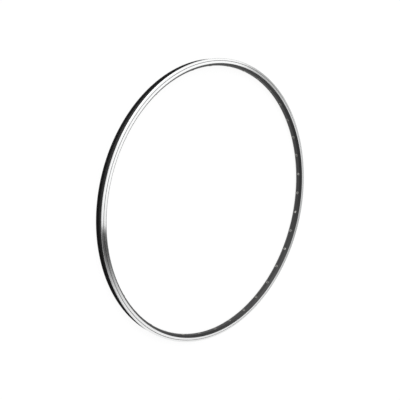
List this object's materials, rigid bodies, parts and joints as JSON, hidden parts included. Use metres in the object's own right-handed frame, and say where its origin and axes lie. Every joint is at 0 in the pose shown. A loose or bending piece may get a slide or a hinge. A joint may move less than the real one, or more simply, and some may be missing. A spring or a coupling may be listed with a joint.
{
  "type": "bicycle rim",
  "caption": "Bare road bicycle rim: a hollow hooked aluminium hoop with machined brake tracks and eyeletted spoke holes, which seats a tyre and is laced to a hub.",
  "frame": {"origin": "The wheel's centre, on the rim's middle plane.", "axes": "+Z is the wheel's axle. -Y points at the valve hole, and +X completes the right-handed frame."},
  "size_m": [0.6334, 0.6334, 0.019],
  "materials": {
    "anodised_aluminium": "satin black anodised, with bare turned brake tracks",
    "plated_steel": "bright plated"
  },
  "bodies": {
    "root": {"rim_hoop": "anodised_aluminium", "spoke_eyelets": "plated_steel"}
  },
  "joints": []
}
